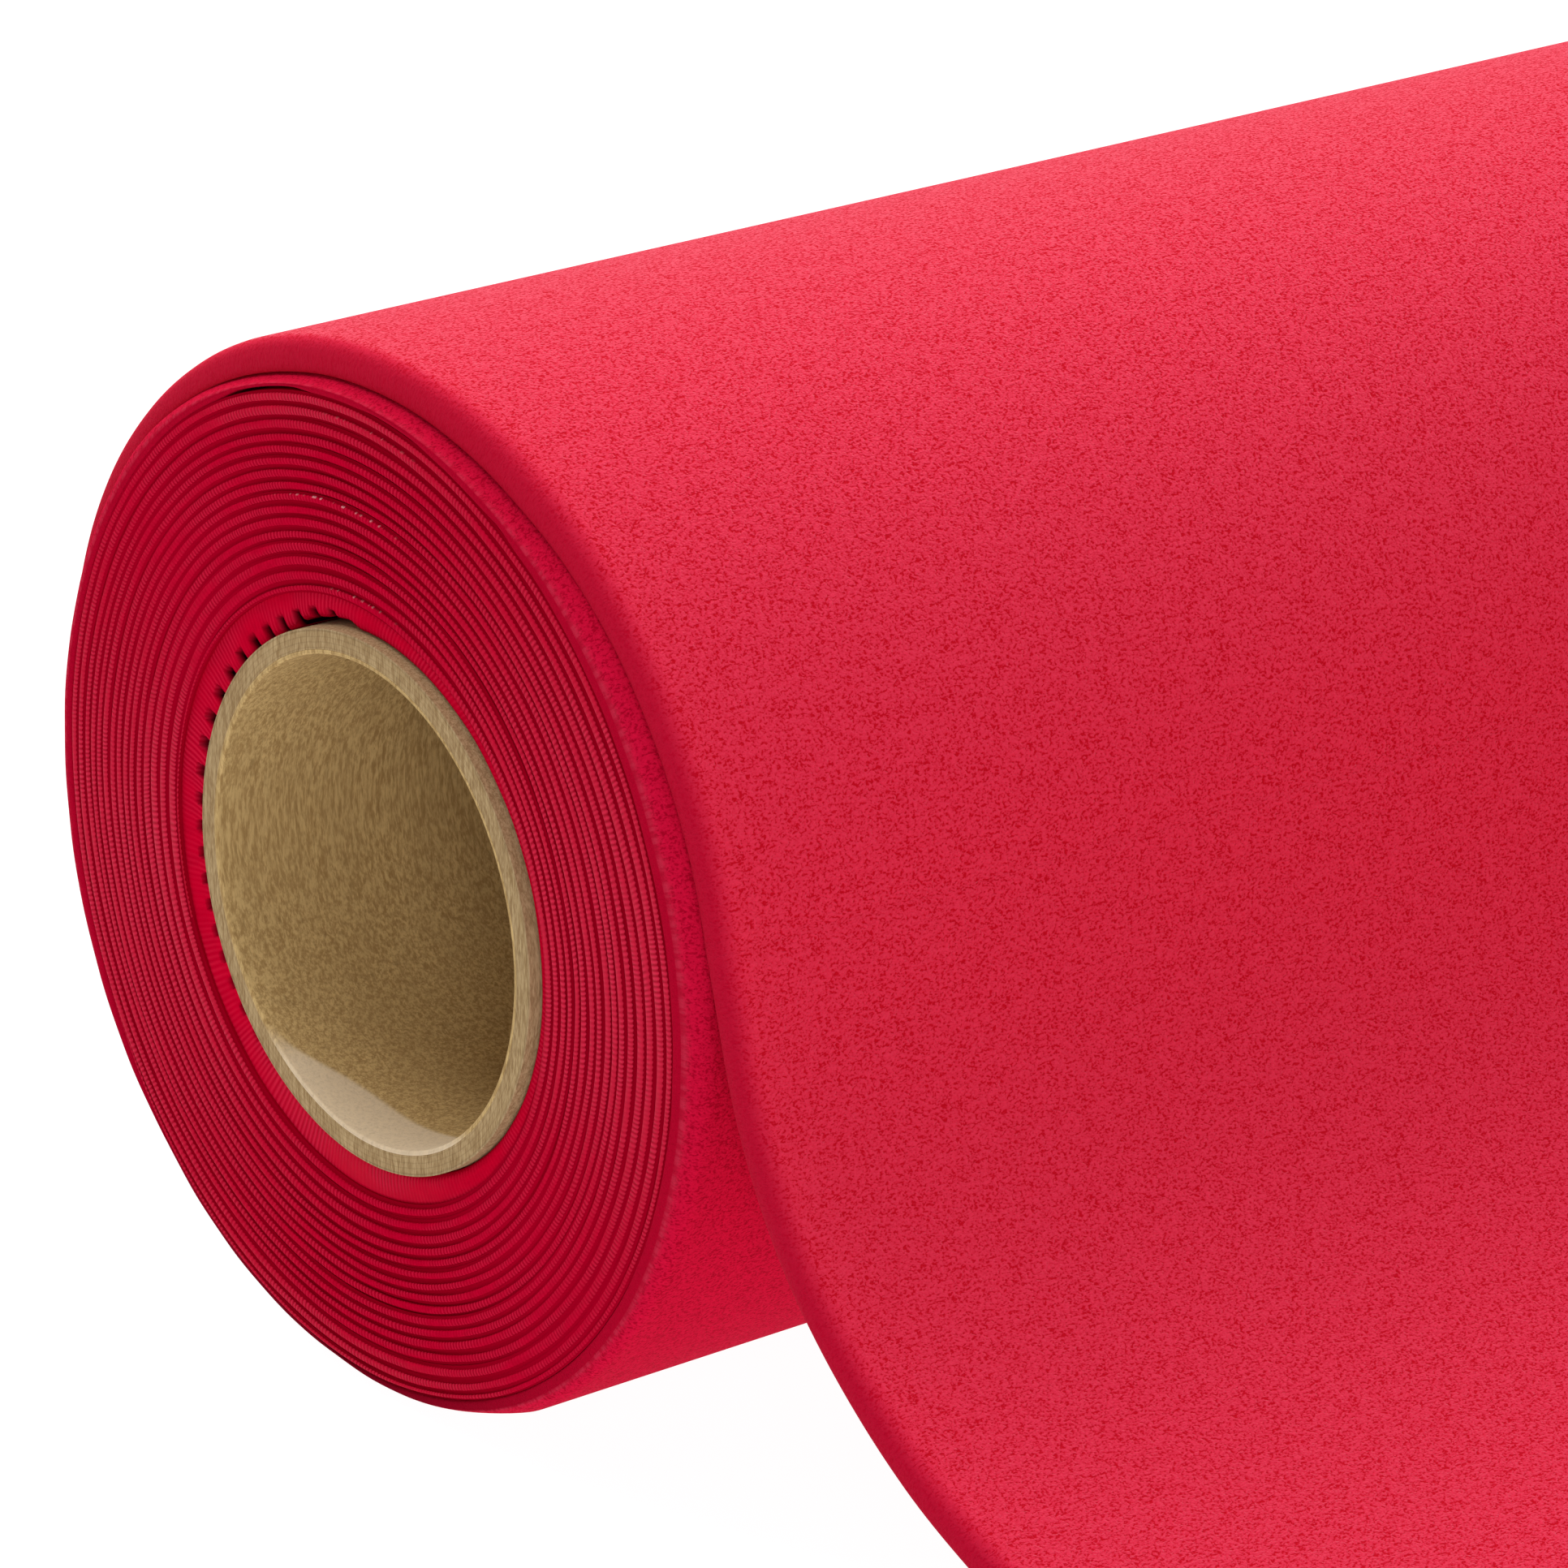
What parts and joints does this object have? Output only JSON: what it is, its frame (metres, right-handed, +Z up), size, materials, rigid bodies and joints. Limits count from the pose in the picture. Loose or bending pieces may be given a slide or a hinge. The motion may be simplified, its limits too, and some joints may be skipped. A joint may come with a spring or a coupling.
{
  "type": "backdrop roll",
  "caption": "Wide sheet wound on a paperboard core, lying on a surface, its last turn loose and the sheet drawn off over the top, down the front and out flat.",
  "frame": {"origin": "on the core's axis, halfway along the core; the axis that the roll turns about, the middle of the wound sheet, lies 1.8 mm behind it", "axes": "+X along the core to the end that the loose turn has wandered towards, +Z up, -Y the way the sheet is drawn off"},
  "size_m": [1.3528, 0.4878, 0.1251],
  "materials": {
    "sheet": "matte napped felt, fine dark speckle",
    "sheet_edge": "matte cut edges of the wound turns",
    "core_board": "matte grey-brown paperboard with visible fibres",
    "core_skin": "matte kraft",
    "tape": "satin paper tape"
  },
  "bodies": {
    "sheet_path": {"loose_wrap": "sheet", "sheet_sweep": "sheet"},
    "roll": {"core_inner_liner": "core_board", "core_body": "core_board", "core_outer_ply": "core_skin", "start_tape": "tape", "wound_web": "sheet_edge", "outermost_turn": "sheet"},
    "sheet_lead": {"floor_run": "sheet"}
  },
  "joints": [
    {"name": "roll_spin", "type": "hinge", "parent": "sheet_path", "child": "roll", "pos_m": [0, 0.00177, -0.00031], "axis": [1, 0, 0], "range_deg": [0, 360]},
    {"name": "payout", "type": "slide", "parent": "sheet_path", "child": "sheet_lead", "axis": [0, -1, 0], "range_m": [0, 0.381]}
  ],
  "couplings": [
    {"joint": "payout", "follows": "roll_spin", "m_per_rad": 0.0605}
  ]
}
